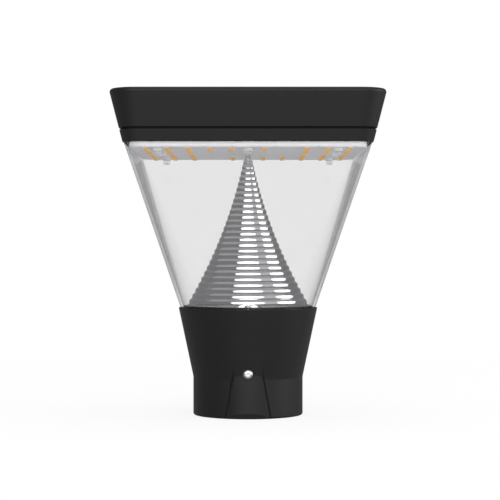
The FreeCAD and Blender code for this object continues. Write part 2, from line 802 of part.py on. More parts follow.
upper_gasket = new_body("upper_gasket")
upper_plan = new_sketch(upper_gasket, "upper_gasket_plan", height=lens_top)
rounded_square(upper_plan, lens_half, S.lens_corner)
rounded_square(upper_plan, S.lens_flange_half, S.lens_flange_corner)
pad(upper_gasket, upper_plan, S.upper_seal)

# ---------------------------------------------------------------------------------------------
# Square head: frame ring, shadow-gap gasket and cover
# ---------------------------------------------------------------------------------------------

clip_sides = [(turn_index, side) for turn_index in range(4) for side in (-1, 1)]
clip_end = S.lens_flange_half + S.clip_reach
clip_step = S.lens_flange_half - S.fit_clearance
clip_screw_at = (S.clip_inner + clip_step) / 2


def on_side(turn_index, out, along):
    """A place that far out from the middle on one of the four sides."""
    return [(along, -out), (out, along), (-along, out), (-out, -along)][turn_index]


clip_screw_places = [
    on_side(turn_index, clip_screw_at, S.clip_place * side) for turn_index, side in clip_sides
]


def make_frame():
    """Frame ring with the web that carries everything inside the head."""
    body = new_body("lens_frame")
    outer = square_block(
        body,
        "frame_outer",
        S.frame_bottom,
        frame_top,
        (S.frame_half, S.frame_corner),
        (head_half_at(frame_top), head_corner_at(frame_top)),
    )
    pad(body, outer[0], S.frame_height)
    block = loft(body, "Additive", outer)

    def lower_edge(edge):
        return abs(edge.BoundBox.ZMax - S.frame_bottom.value) < 0.001

    round_edges(body, block, lower_edge, S.frame_edge_round, "frame_edge")
    inside = new_sketch(body, "frame_inside", height=S.frame_bottom)
    rounded_square(inside, lens_half + S.fit_clearance, S.lens_corner + S.fit_clearance)
    cut(body, inside, web_bottom - S.frame_bottom, along=True)
    opening = new_sketch(body, "frame_opening", height=frame_top)
    rounded_square(opening, S.web_opening, S.web_corner)
    cut(body, opening, S.frame_height)
    depth = S.web_thickness * 2
    board_hole = S.board_shank_radius + S.screw_hole_clearance
    holes(body, "frame_cover_holes", cover_screw_places, screw_hole, frame_top, depth)
    holes(body, "frame_board_holes", board_screw_places, board_hole, frame_top, depth)
    holes(body, "frame_clip_holes", clip_screw_places, screw_hole, frame_top, depth)
    return body


lens_frame = make_frame()

reveal_gasket = new_body("reveal_gasket")
reveal_plan = new_sketch(reveal_gasket, "reveal_plan", height=frame_top)
reveal_half = head_half_at(frame_top) - S.reveal_depth
reveal_corner = head_corner_at(frame_top) - S.reveal_depth
rounded_square(reveal_plan, reveal_half, reveal_corner)
rounded_square(
    reveal_plan, reveal_half - S.reveal_seal_width, reveal_corner - S.reveal_seal_width
)
pad(reveal_gasket, reveal_plan, S.reveal_height)


def make_cover():
    """Cast top cover: hollow, with a foot on the gasket and four screw bosses."""
    body = new_body("top_cover")
    outer = square_block(
        body,
        "cover_outer",
        cover_bottom,
        head_top,
        (head_half_at(cover_bottom), head_corner_at(cover_bottom)),
        (S.head_half, S.head_corner),
    )
    pad(body, outer[0], S.cover_foot)
    block = loft(body, "Additive", outer)

    def top_edge(edge):
        return abs(edge.BoundBox.ZMin - head_top.value) < 0.001

    round_edges(body, block, top_edge, S.head_round, "cover_edge")
    hollow_low = cover_bottom + S.cover_foot
    hollow_high = head_top - S.cover_wall
    inner = square_block(
        body,
        "cover_inner",
        hollow_low,
        hollow_high,
        (head_half_at(hollow_low) - S.cover_wall, head_corner_at(hollow_low) - S.cover_wall),
        (head_half_at(hollow_high) - S.cover_wall, head_corner_at(hollow_high) - S.cover_wall),
    )
    loft(body, "Subtractive", inner)
    mouth = new_sketch(body, "cover_mouth", height=cover_bottom)
    rounded_square(
        mouth, reveal_half - S.reveal_seal_width, reveal_corner - S.reveal_seal_width
    )
    cut(body, mouth, S.cover_foot, along=True)
    bosses = new_sketch(body, "cover_bosses", height=frame_top)
    for across, along in cover_screw_places:
        circle(bosses, across, along, S.cover_boss_radius)
    pad(body, bosses, hollow_high + S.cover_wall / 2 - frame_top)
    threads = new_sketch(body, "cover_threads", height=frame_top)
    for across, along in cover_screw_places:
        circle(threads, across, along, screw_hole)
    cut(body, threads, S.cover_screw_length, along=True)
    return body


top_cover = make_cover()
cover_screws = screw_group(
    "cover_screws", cover_screw_places, web_bottom, S.cover_screw_length, up=True
)

# ---------------------------------------------------------------------------------------------
# Light engine: heat spreader, circuit board, its packages and its screws
# ---------------------------------------------------------------------------------------------

tube_hole = S.tube_radius + S.screw_hole_clearance
board_hole = S.board_shank_radius + S.screw_hole_clearance


def make_tray():
    """Heat spreader: a flat plate with eight stand-offs up to the frame."""
    body = new_body("heat_spreader")
    plan = new_sketch(body, "tray_plan", height=tray_bottom)
    rounded_square(plan, tray_half, S.tray_corner)
    pad(body, plan, S.tray_thickness)
    posts = new_sketch(body, "tray_posts", height=S.frame_bottom)
    for across, along in board_screw_places:
        circle(posts, across, along, S.board_boss_radius)
    pad(body, posts, web_bottom - S.frame_bottom)
    holes(body, "tray_holes", board_screw_places, board_hole, web_bottom, S.frame_height * 2)
    holes(body, "tray_middle", [(0, 0)], tube_hole, S.frame_bottom, S.tray_thickness)
    return body


heat_spreader = make_tray()

led_board = new_body("led_board")
board_plan = new_sketch(led_board, "board_plan", height=board_bottom)
rounded_square(board_plan, tray_half, S.tray_corner)
circle(board_plan, 0, 0, tube_hole)
for across, along in board_screw_places:
    circle(board_plan, across, along, board_hole)
pad(led_board, board_plan, S.board_thickness)


def led_places():
    """Rows and columns of the packages: three deep round the board, with two gaps."""
    steps = [S.led_middle.value + S.led_pitch.value * number for number in range(LED_LINES)]
    lines = sorted([-step for step in steps] + steps)
    outer = steps[LED_LINES - LED_DEPTH] - S.led_pitch.value / 2
    places = []
    for across in lines:
        for along in lines:
            side_column = abs(across) > outer
            front_left = along < -outer and across < steps[1] - S.led_pitch.value / 2
            back_right = along > outer and across > -steps[1] + S.led_pitch.value / 2
            if side_column or front_left or back_right:
                places.append((across, along))
    return places


def piece_from_shape(name, shape):
    """A piece whose shape is worked out here from the sheet's values."""
    piece = doc.addObject("Part::Feature", name)
    piece.Label = name
    piece.Shape = shape
    return piece


def make_leds():
    """The light-emitting packages on the underside of the board."""
    width = S.led_width.value
    height = S.led_height.value
    low = board_bottom.value - height
    blocks = []
    for across, along in led_places():
        corner = Vector(across - width / 2, along - width / 2, low)
        blocks.append(Part.makeBox(width, width, height, corner))
    return piece_from_shape("led_packages", Part.makeCompound(blocks))


led_packages = make_leds()
spacer_bottom = board_bottom - S.board_spacer

board_spacers = new_body("board_spacers")
spacer_plan = new_sketch(board_spacers, "spacer_plan", height=spacer_bottom)
for across, along in board_screw_places:
    circle(spacer_plan, across, along, S.board_spacer_radius)
    circle(spacer_plan, across, along, board_hole)
pad(board_spacers, spacer_plan, S.board_spacer)

board_screws = new_body("board_screws")
board_heads = new_sketch(board_screws, "board_heads", height=spacer_bottom)
board_shanks = new_sketch(board_screws, "board_shanks", height=spacer_bottom)
board_drives = new_sketch(
    board_screws, "board_drives", height=spacer_bottom - S.board_head_height
)
for across, along in board_screw_places:
    circle(board_heads, across, along, S.board_head_radius)
    circle(board_shanks, across, along, S.board_shank_radius)
    circle(board_drives, across, along, S.board_head_radius / 2)
pad(board_screws, board_heads, S.board_head_height, down=True)
pad(board_screws, board_shanks, web_bottom + S.web_thickness / 2 - spacer_bottom)
cut(board_screws, board_drives, S.board_head_height / 2, along=True)

# ---------------------------------------------------------------------------------------------
# Clips that hold the diffuser's flange up under the web
# ---------------------------------------------------------------------------------------------

flange_bottom = lens_top - S.lens_wall


def make_clips():
    """Eight stepped clips, two on each side."""
    body = new_body("lens_clips")
    for part, inner, outer, low, high in (
        ("tongue", S.clip_inner, clip_end, flange_bottom - S.clip_thickness, flange_bottom),
        ("block", S.clip_inner, clip_step, flange_bottom, web_bottom),
    ):
        sketch = new_sketch(body, f"clip_{part}", height=low)
        for turn_index, side in clip_sides:
            middle = S.clip_place * side
            left = middle - S.clip_width / 2
            right = middle + S.clip_width / 2
            a = on_side(turn_index, inner, left)
            b = on_side(turn_index, outer, right)
            outline(sketch, [a, (b[0], a[1]), b, (a[0], b[1])])
        pad(body, sketch, high - low)
    holes(body, "clip_holes", clip_screw_places, screw_hole, web_bottom, S.frame_height)
    return body


lens_clips = make_clips()
clip_screws = screw_group(
    "clip_screws", clip_screw_places, flange_bottom - S.clip_thickness, S.clip_screw_length, up=True
)

# ---------------------------------------------------------------------------------------------
# Reflector cone, its screws, and the wire tube that ties it to the board
# ---------------------------------------------------------------------------------------------


def cone_radius_at(depth):
    """Radius of the reflector that far under its tip: a cone that flares gently."""
    return S.cone_tip_radius.value + S.cone_slope.value * depth + S.cone_flare.value * depth**2


def make_cone():
    """Stepped reflector: upright bands and sloping ledges, hollow, with a foot and pockets."""
    tip = cone_top.value
    bays = int(round(S.cone_bays.value))
    foot = flange_top.value
    pitch = (tip - foot) / bays
    band = pitch * S.cone_band_share.value
    points = [(S.tube_radius.value + S.screw_hole_clearance.value, tip)]
    for bay in range(bays):
        radius = cone_radius_at(bay * pitch)
        points.append((radius, tip - bay * pitch))
        points.append((radius, tip - bay * pitch - band))
    foot_radius = cone_radius_at(tip - foot)
    flange_radius = lens_foot_radius.value - S.lens_wall.value - S.fit_clearance.value
    points.append((foot_radius, foot))
    points.append((flange_radius, foot))
    points.append((flange_radius, cone_bottom.value))
    inner_foot = foot_radius - S.cone_foot_wall.value
    step = foot + S.cone_foot_height.value
    points.append((inner_foot, cone_bottom.value))
    points.append((inner_foot, step))
    hollow_top = tip - S.cone_solid_tip.value
    for number in range(HOLLOW_FLATS + 1):
        height = step + (hollow_top - step) * number / HOLLOW_FLATS
        radius = cone_radius_at(tip - height) - S.cone_wall.value - pitch * HOLLOW_STEP_SHARE
        points.append((radius, height))
    points.append((points[0][0], hollow_top))
    corners = [Vector(radius, 0, height) for radius, height in points]
    wire = Part.makePolygon(corners + corners[:1])
    solid = Part.Face(wire).revolve(Vector(0, 0, 0), Vector(0, 0, 1), 360)
    for degrees in CLAMP_ANGLES.values():
        turned = FreeCAD.Rotation(Vector(0, 0, 1), degrees + 90.0)
        pocket = Part.makeBox(
            S.pocket_width.value,
            foot_radius,
            S.pocket_height.value,
            Vector(-S.pocket_width.value / 2, -S.pocket_wall.value - foot_radius, foot),
        )
        hole = Part.makeCylinder(
            screw_hole.value,
            S.cone_flange.value * 2,
            Vector(0, -S.cone_screw_circle.value, foot - S.cone_flange.value * 1.5),
        )
        for cutter in (pocket, hole):
            cutter.Placement = FreeCAD.Placement(Vector(0, 0, 0), turned).multiply(
                cutter.Placement
            )
            solid = solid.cut(cutter)
    return piece_from_shape("reflector_cone", solid)


reflector_cone = make_cone()
cone_screws = screw_group("cone_screws", cone_screw_places, flange_top, S.cone_screw_length)

hollow_top = cone_top - S.cone_solid_tip
tube_bottom = hollow_top - S.tube_below
tube_top = S.frame_bottom + S.tube_above
wire_tube = ring_body("wire_tube", S.tube_bore, S.tube_radius, tube_bottom, tube_top - tube_bottom)


def hexagon(sketch, radius):
    """A hexagon about the axis, over its corners."""
    corners = [polar(radius, 60.0 * number) for number in range(6)]
    outline(sketch, corners)


tube_nuts = new_body("tube_nuts")
for level, height in (("under", hollow_top - S.tube_nut_height), ("over", S.frame_bottom)):
    nut = new_sketch(tube_nuts, f"nut_{level}", height=height)
    hexagon(nut, S.tube_nut_radius)
    circle(nut, 0, 0, tube_hole)
    pad(tube_nuts, nut, S.tube_nut_height)

# ---------------------------------------------------------------------------------------------
# Supply inside the base: deck, driver, terminals, leads and grommets
# ---------------------------------------------------------------------------------------------

deck_plate = ring_body("deck_plate", S.deck_hole_radius, deck_radius, seat_height, S.deck_thickness)
deck_depth = S.deck_thickness * 2
holes(deck_plate, "deck_holes", deck_screw_places, screw_hole, deck_top, deck_depth)
holes(deck_plate, "deck_driver_holes", driver_screw_places, screw_hole, deck_top, deck_depth)
deck_screws = screw_group("deck_screws", deck_screw_places, deck_top, S.deck_screw_length)

driver_case = box_body(
    "driver_case",
    -(S.driver_length / 2),
    S.driver_length / 2,
    -(S.driver_shift + S.driver_width / 2),
    S.driver_width / 2 - S.driver_shift,
    seat_height - S.driver_height,
    seat_height,
)
holes(
    driver_case,
    "driver_holes",
    driver_screw_places,
    screw_hole,
    seat_height,
    S.driver_screw_length,
)
driver_screws = screw_group(
    "driver_screws", driver_screw_places, deck_top, S.driver_screw_length
)

terminal_block = box_body(
    "terminal_block",
    -(S.terminal_length / 2),
    S.terminal_length / 2,
    S.terminal_back - S.terminal_width / 2,
    S.terminal_back + S.terminal_width / 2,
    seat_height - S.terminal_height,
    seat_height,
)
terminal_middle = seat_height - S.terminal_height / 2
terminal_face = S.terminal_back + S.terminal_width / 2
terminal_wells = new_sketch(terminal_block, "terminal_wells", "XZ_Plane", height=-terminal_face)
terminal_screws = new_body("terminal_screws")
terminal_heads = new_sketch(terminal_screws, "terminal_heads", "XZ_Plane", height=-terminal_face)
for side in (-1, 0, 1):
    across = S.terminal_screw_pitch * side
    well_radius = S.terminal_screw_radius + S.screw_hole_clearance
    circle(terminal_wells, across, terminal_middle, well_radius)
    circle(terminal_heads, across, terminal_middle, S.terminal_screw_radius)
cut(terminal_block, terminal_wells, S.terminal_width / 2, along=True)
pad(terminal_screws, terminal_heads, S.terminal_width / 2)


def make_inlet_grommet():
    """A turned rubber grommet in the shelf, with a rim over it and none in the socket."""
    body = new_body("inlet_grommet")
    section = new_sketch(body, "inlet_grommet_section", "XZ_Plane")
    outer = S.inlet_radius + S.grommet_rim
    outline(
        section,
        [
            (S.grommet_bore, S.socket_depth),
            (S.inlet_radius, S.socket_depth),
            (S.inlet_radius, shelf_top),
            (outer, shelf_top),
            (outer, shelf_top + S.grommet_rim),
            (S.grommet_bore, shelf_top + S.grommet_rim),
        ],
    )
    turn(body, section)
    return body


inlet_grommet = make_inlet_grommet()
lead_grommet = ring_body(
    "lead_grommet", S.lead_radius, S.deck_hole_radius, seat_height, S.deck_thickness
)

board_plug = box_body(
    "board_plug",
    S.lead_bend * 2 - S.plug_length / 2,
    S.lead_bend * 2 + S.plug_length / 2,
    -(S.plug_width / 2),
    S.plug_width / 2,
    S.frame_bottom,
    S.frame_bottom + S.plug_height,
)


def bent_lead(name, radius, points):
    """A round lead along straight runs with one half turn between them."""
    start, bend_start, bend_middle, bend_end, finish = points
    path = Part.Wire(
        [
            Part.LineSegment(start, bend_start).toShape(),
            Part.Arc(bend_start, bend_middle, bend_end).toShape(),
            Part.LineSegment(bend_end, finish).toShape(),
        ]
    )
    profile = Part.Wire(Part.makeCircle(radius, start, bend_start - start))
    return piece_from_shape(name, path.makePipeShell([profile], True, False))


def make_output_lead():
    """Lead from the driver up the cone and the tube, over and down into the plug."""
    bend = S.lead_bend.value
    high = tube_top.value + S.lead_rise.value
    return bent_lead(
        "output_lead",
        S.lead_radius.value,
        [
            Vector(0, 0, seat_height.value),
            Vector(0, 0, high),
            Vector(bend, 0, high + bend),
            Vector(2 * bend, 0, high),
            Vector(2 * bend, 0, (S.frame_bottom + S.plug_height).value),
        ],
    )


def make_supply_lead():
    """Lead from the terminals down and round to the driver."""
    back = S.terminal_back.value
    start = (seat_height - S.terminal_height).value
    low = (seat_height - S.driver_height).value - S.supply_lead_drop.value / 4
    bend = (S.terminal_back - (S.driver_width / 2 - S.driver_shift) + S.driver_width / 5).value / 2
    return bent_lead(
        "supply_lead",
        S.supply_lead_radius.value,
        [
            Vector(0, back, start),
            Vector(0, back, low),
            Vector(0, back - bend, low - bend),
            Vector(0, back - 2 * bend, low),
            Vector(0, back - 2 * bend, (seat_height - S.driver_height).value),
        ],
    )


output_lead = make_output_lead()
supply_lead = make_supply_lead()

# ---------------------------------------------------------------------------------------------
# Check every object and write the pieces
# ---------------------------------------------------------------------------------------------

doc.recompute()
problems = []
for item in doc.Objects:
    if "Invalid" in item.State or "Error" in item.State:
        problems.append(f"{item.Label}: {item.State}")

PIECES = [
    item
    for item in doc.Objects
    if item.TypeId in ("PartDesign::Body", "Part::Feature")
    and item.getParentGeoFeatureGroup() is None
]
for piece in PIECES:
    shape = piece.Shape
    if shape.isNull() or not shape.isValid() or not shape.Solids:
        problems.append(f"{piece.Label}: no sound shape")
if problems:
    raise SystemExit("\n".join(problems))

os.makedirs("parts", exist_ok=True)
for piece in PIECES:
    piece.Shape.exportStep(os.path.join("parts", f"{piece.Label}.step"))
    box = piece.Shape.BoundBox
    print(
        f"{piece.Label:18s} solids {len(piece.Shape.Solids):3d}  volume {piece.Shape.Volume:10.1f}"
        f"  z {box.ZMin:7.2f} to {box.ZMax:7.2f}"
    )
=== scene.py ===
# %% [markdown]
# # A post-top garden lantern
# A square black head over a clear tapered diffuser. Inside stands a stepped chrome cone that
# spreads the light of the small amber packages round the board. The foot is a round casting
# that slips over a post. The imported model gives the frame: every size and place comes from it.
# This lesson gives each piece its real surface, and makes anew the pieces that need finer
# shapes than a machined solid has: the diffuser, the cone and the light packages.

import json
import math

import bmesh
import bpy
from mathutils import Matrix, Vector


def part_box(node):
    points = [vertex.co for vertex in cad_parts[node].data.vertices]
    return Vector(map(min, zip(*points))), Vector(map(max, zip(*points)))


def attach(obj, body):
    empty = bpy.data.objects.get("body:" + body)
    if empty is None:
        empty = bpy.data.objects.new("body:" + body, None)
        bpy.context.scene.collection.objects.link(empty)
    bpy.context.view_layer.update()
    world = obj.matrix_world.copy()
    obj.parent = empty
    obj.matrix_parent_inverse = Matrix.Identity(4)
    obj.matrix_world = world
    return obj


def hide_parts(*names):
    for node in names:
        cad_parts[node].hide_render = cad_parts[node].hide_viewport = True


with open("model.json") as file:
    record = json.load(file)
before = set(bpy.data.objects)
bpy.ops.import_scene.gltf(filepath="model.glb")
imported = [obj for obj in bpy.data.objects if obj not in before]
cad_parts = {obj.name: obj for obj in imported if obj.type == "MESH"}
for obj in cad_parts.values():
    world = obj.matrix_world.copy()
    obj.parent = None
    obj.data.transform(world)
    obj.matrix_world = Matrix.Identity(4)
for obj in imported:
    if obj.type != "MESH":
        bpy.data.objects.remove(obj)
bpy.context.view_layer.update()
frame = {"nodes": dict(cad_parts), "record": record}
NODES = frame["nodes"]
MM = 0.001  # one millimetre, in the scene's metres

# %% [markdown]
# ## Shader maths as arithmetic
# A material is a graph of nodes. Wiring each Math node by hand hides what is worked out, so a
# small class stands for one socket, and adding or multiplying two of them adds the node. The
# second class is a finish being mixed: its method `node` adds any kind of node, and the others
# are short ways to the nodes that most finishes share.

# %% A socket that does arithmetic, and a finish that holds the nodes
WHITE = (1.0, 1.0, 1.0)


class Signal:
    """One output socket of a finish. Arithmetic on it adds Math nodes."""

    def __init__(self, finish, socket):
        self.finish = finish
        self.socket = socket

    def maths(self, operation, *values, clamp=False):
        return self.finish.maths(operation, *values, clamp=clamp)

    def __add__(self, other):
        return self.maths("ADD", self, other)

    def __sub__(self, other):
        return self.maths("SUBTRACT", self, other)

    def __rsub__(self, other):
        return self.maths("SUBTRACT", other, self)

    def __mul__(self, other):
        return self.maths("MULTIPLY", self, other)

    def __truediv__(self, other):
        return self.maths("DIVIDE", self, other)

    def __pow__(self, other):
        return self.maths("POWER", self, other)

    def clamped(self):
        return self.maths("ADD", self, 0.0, clamp=True)

    __radd__ = __add__
    __rmul__ = __mul__


class Finish:
    """A material being mixed, or the world when one is handed in."""

    def __init__(self, name, owner=None):
        self.owner = owner or bpy.data.materials.new(name)
        self.owner.use_nodes = True
        self.tree = self.owner.node_tree
        self.tree.nodes.clear()
        kind = "ShaderNodeOutputWorld" if owner else "ShaderNodeOutputMaterial"
        self.output = self.tree.nodes.new(kind)

    def plug(self, socket, value):
        if isinstance(value, Signal):
            self.tree.links.new(value.socket, socket)
        elif isinstance(value, tuple) and socket.type == "RGBA":
            socket.default_value = (*value, 1.0)
        else:
            socket.default_value = value

    def node(self, kind, settings=None, sockets=None, out=0):
        """Add a node: its kind, its settings, and what goes into its sockets."""
        made = self.tree.nodes.new("ShaderNode" + kind)
        for name, value in (settings or {}).items():
            setattr(made, name, value)
        for name, value in (sockets or {}).items():
            self.plug(made.inputs[name], value)
        return Signal(self, made.outputs[out])

    def outputs(self, kind, names, sockets=None):
        """Add a node and take several of its outputs."""
        sides = self.node(kind, None, sockets).socket.node.outputs
        return [Signal(self, sides[name]) for name in names]

    def rays(self):
        """Does the ray come from the camera, through something clear, or off a mirror?"""
        return self.outputs("LightPath", ("Is Camera Ray", "Is Transmission Ray", "Is Glossy Ray"))

    def maths(self, operation, *values, clamp=False):
        """One Math node over signals or numbers."""
        settings = {"operation": operation, "use_clamp": clamp}
        return self.node("Math", settings, dict(enumerate(values)))

    def blend(self, factor, first, second):
        """Two colours mixed by a factor."""
        return self.node("Mix", {"data_type": "RGBA"}, {0: factor, 6: first, 7: second}, out=2)

    def mix(self, factor, first, second):
        """Two shaders mixed by a factor."""
        return self.node("MixShader", None, {0: factor, 1: first, 2: second})

    def ramp(self, value, stops):
        """A value turned into a grey by stops of (place, level)."""
        signal = self.node("ValToRGB", None, {"Fac": value})
        band = signal.socket.node.color_ramp
        while len(band.elements) < len(stops):
            band.elements.new(0.5)
        for element, (place, level) in zip(band.elements, stops):
            element.position = place
            element.color = (level, level, level, 1.0)
        return signal

    def place(self, grain):
        """The point on the piece, in millimetres over the grain."""
        point = self.node("TexCoord", out="Object")
        scale = 1.0 / (MM * grain)
        return self.node("Mapping", None, {"Vector": point, "Scale": (scale, scale, scale)})

    def noise(self, grain, detail=2.0):
        """Soft random lumps about that many millimetres across."""
        sockets = {"Vector": self.place(grain), "Scale": 1.0, "Detail": detail}
        return self.node("TexNoise", None, sockets)

    def bump(self, height, distance, strength, base=None):
        """A normal from a height; the distance is in millimetres."""
        sockets = {"Height": height, "Distance": distance * MM, "Strength": strength}
        if base is not None:
            sockets["Normal"] = base
        return self.node("Bump", None, sockets)

    def slant(self, normal):
        """Nought where the surface is seen squarely, one where it is seen along its side."""
        sockets = {"Blend": 0.5, "Normal": normal}
        return self.node("LayerWeight", None, sockets, out="Facing")

    def principled(self, **sockets):
        """The usual shader; words in socket names are joined by underscores."""
        named = {name.replace("_", " "): value for name, value in sockets.items()}
        return self.node("BsdfPrincipled", None, named)

    def done(self, shader):
        self.plug(self.output.inputs["Surface"], shader)
        print("finish:", self.owner.name, "with", len(self.tree.nodes), "nodes")
        return self.owner


# %% [markdown]
# ## Camera
# The picture was taken level with the diffuser, from a little over a metre and a half, with a
# long lens: the rim of the base shows as a line and the board as a thin strip. A long lens keeps
# the sides of the head nearly parallel, so its place is found from how the far edges draw in.

# %% Camera
HORIZON = 162.7 * MM
CAMERA_AWAY = 1656.6 * MM
LENS = 118.8
SENSOR = 36.0
SHIFT = 0.004  # share of the picture by which the axis stands off its middle
NEAREST = 0.05

camera_data = bpy.data.cameras.new("camera")
camera_data.lens = LENS
camera_data.sensor_width = SENSOR
camera_data.shift_x = SHIFT
camera_data.shift_y = SHIFT
camera_data.clip_start = NEAREST
camera = bpy.data.objects.new("camera", camera_data)
camera.location = (0.0, -CAMERA_AWAY, HORIZON)
camera.rotation_euler = (math.pi / 2, 0.0, 0.0)
bpy.context.scene.collection.objects.link(camera)
bpy.context.scene.camera = camera
bpy.context.scene.view_settings.view_transform = "Standard"
print("camera", [round(v, 3) for v in camera.location])

# %% [markdown]
# ## Studio
# Chrome shows nothing but the room it stands in, so the room is built with care: grey walls, a
# wide soft box behind the camera, a second one to the right and a third overhead. The camera
# and whatever looks through the diffuser see plain white. Diffuse surfaces are lit by an even
# pale grey, so a colour comes out about as it is written.

# %% Room
WALL = 0.26  # what metal sees of the walls
FILL_WALL = 0.84  # the wall between the two soft boxes is nearer and paler
AMBIENT = 0.76  # what diffuse surfaces see all round
WALL_STOPS = (
    # (share of a turn, level): 0.5 is behind the camera, 0.75 to its right
    (0.56, WALL),
    (0.585, FILL_WALL),
    (0.67, FILL_WALL),
    (0.70, WALL),
)


def build_room():
    world = bpy.data.worlds.new("studio")
    bpy.context.scene.world = world
    room = Finish("studio", world)
    way = room.node("TexCoord", out="Generated")
    across, along = room.outputs("SeparateXYZ", ("X", "Y"), {"Vector": way})
    angle = room.maths("ARCTAN2", across, along * -1.0)
    grey = room.ramp(angle / math.tau + 0.5, WALL_STOPS)
    seen, through, mirrored = room.rays()
    plain = room.blend(mirrored, (AMBIENT,) * 3, grey)
    colour = room.blend((seen + through).clamped(), plain, WHITE)
    room.done(room.node("Background", None, {"Color": colour, "Strength": 1.0}))


build_room()

# %% [markdown]
# ## Soft boxes
# The boxes are round-cornered like real ones, so each lamp is an ellipse. Two stand on end round
# the lantern and give the cone its two columns of white patches; the third lights the top.

# %% Soft boxes
SOFT_BOXES = {
    # name: (angle to the right of the camera, height of its middle, width, height, radiance)
    "front_box": (0.0, 0.64, 2.72, 1.34, 2.7),
    "right_box": (83.0, 0.64, 1.88, 1.34, 2.5),
}
BOX_AWAY = 2.1
TOP_BOX_UP = 2.3
TOP_BOX_SIZE = 1.7
TOP_BOX_RADIANCE = 1.6


def soft_box(name, place, toward, width, height, radiance):
    """An elliptical lamp whose surface has that radiance."""
    lamp = bpy.data.lights.new(name, "AREA")
    lamp.shape = "ELLIPSE"
    lamp.size = width
    lamp.size_y = height
    lamp.energy = radiance * math.pi * width * height * math.pi / 4
    box = bpy.data.objects.new(name, lamp)
    box.location = place
    box.rotation_euler = (Vector(toward) - Vector(place)).to_track_quat("-Z", "Y").to_euler()
    box.visible_camera = False
    bpy.context.scene.collection.objects.link(box)
    print("soft box:", name, "power", round(lamp.energy, 1))


for name, (angle, middle, width, height, radiance) in SOFT_BOXES.items():
    turn = math.radians(angle)
    place = (BOX_AWAY * math.sin(turn), -BOX_AWAY * math.cos(turn), middle)
    soft_box(name, place, (0.0, 0.0, middle), width, height, radiance)
overhead = (0.0, 0.0, TOP_BOX_UP)
soft_box("top_box", overhead, (0.0, 0.0, 0.0), TOP_BOX_SIZE, TOP_BOX_SIZE, TOP_BOX_RADIANCE)

# %% [markdown]
# ## Floor
# A white sweep of paper. It is lit like anything else, and for rays from the camera and through
# the diffuser most of it is plain white, so it runs into the white behind it and still keeps the
# soft shadow of the foot. Metal sees it as the dim grey that a photographer's flags make it.

# %% Floor
FLOOR_REACH = 12.0
FLOOR_GLOW = 0.86  # share of plain white near the lantern
GLOW_REACH = 1.1  # metres out where the paper is all plain white
MIRRORED_FLOOR = 0.30  # what metal and plastic see of the paper, which lies in the shade


def floor_sheet():
    reach = FLOOR_REACH
    mesh = bpy.data.meshes.new("floor")
    corners = [(-reach, -reach, 0.0), (reach, -reach, 0.0), (reach, reach, 0.0), (-reach, reach, 0.0)]
    mesh.from_pydata(corners, [], [(0, 1, 2, 3)])
    sheet = bpy.data.objects.new("floor", mesh)
    bpy.context.scene.collection.objects.link(sheet)
    return sheet


def build_floor():
    floor = floor_sheet()
    paper = Finish("floor paper")
    seen, through, mirrored = paper.rays()
    fibre = paper.noise(3.0)
    tone = paper.blend(fibre, (0.86, 0.86, 0.86), (0.9, 0.9, 0.9))
    lit = paper.principled(Base_Color=tone, Roughness=0.9, Specular_IOR_Level=0.0)
    level = paper.blend(mirrored, WHITE, (MIRRORED_FLOOR,) * 3)
    glow = paper.node("Emission", None, {"Color": level, "Strength": 1.0})
    spot = paper.node("TexCoord", out="Object")
    away = paper.node("VectorMath", {"operation": "LENGTH"}, {0: spot}, out="Value")
    glowing = (away / GLOW_REACH).clamped() ** 2.0 * (1.0 - FLOOR_GLOW) + FLOOR_GLOW
    share = ((seen + through) * glowing + mirrored).clamped()
    floor.data.materials.append(paper.done(paper.mix(share, lit, glow)))


build_floor()

# %% [markdown]
# ## Black powder coat
# The castings are sprayed with black polyester powder and baked. It melts into a satin skin with
# a fine orange-peel dimple about a millimetre across and a faint grain. A bump of two noises
# gives the dimple and the grain, and the tone and gloss drift a little over the casting. The
# melted coat also rounds every edge, so the edges catch a thin line of light.

# %% Powder coat
COAT_EDGE = 0.7  # radius of every painted edge, in millimetres
COAT_SHINE = 0.36
PEEL_HEIGHT = 0.035


def make_powder_coat():
    coat = Finish("black powder coat")
    drift = coat.noise(38.0, detail=3.0)
    grain = coat.noise(0.35, detail=1.0)
    peel = coat.noise(1.3, detail=1.5)
    colour = coat.blend(drift, (0.0054, 0.0052, 0.0055), (0.0074, 0.0071, 0.0075))
    colour = coat.blend(grain * 0.2, colour, (0.017, 0.016, 0.017))
    rounded = coat.node("Bevel", {"samples": 8}, {"Radius": COAT_EDGE * MM})
    return coat.done(
        coat.principled(
            Base_Color=colour,
            Roughness=0.47 + drift * 0.08 - grain * 0.05,
            Specular_IOR_Level=COAT_SHINE,
            Normal=coat.bump(peel + grain * 0.35, PEEL_HEIGHT, 0.5, base=rounded),
        )
    )


POWDER_COAT = make_powder_coat()

# %% [markdown]
# ## Clear polycarbonate
# The diffuser is moulded in clear polycarbonate, three millimetres thick. Looked at squarely it
# lets nearly everything through; looked at along the wall it mirrors the grey room, and that is
# what draws its sides as grey strips. Real refraction would keep the lamps out of the inside
# until the render ran for hours, so each skin is a clear film mixed with a mirror: about a
# twentieth of the light squarely, and by the fifth power of the slant more than half edge on.

# %% Clear polycarbonate
SQUARE_ON = 0.045  # share mirrored by a skin seen squarely
EDGE_ON = 0.60  # and at most along the wall, where light also comes through from the side
FILM = (0.971, 0.968, 0.971)


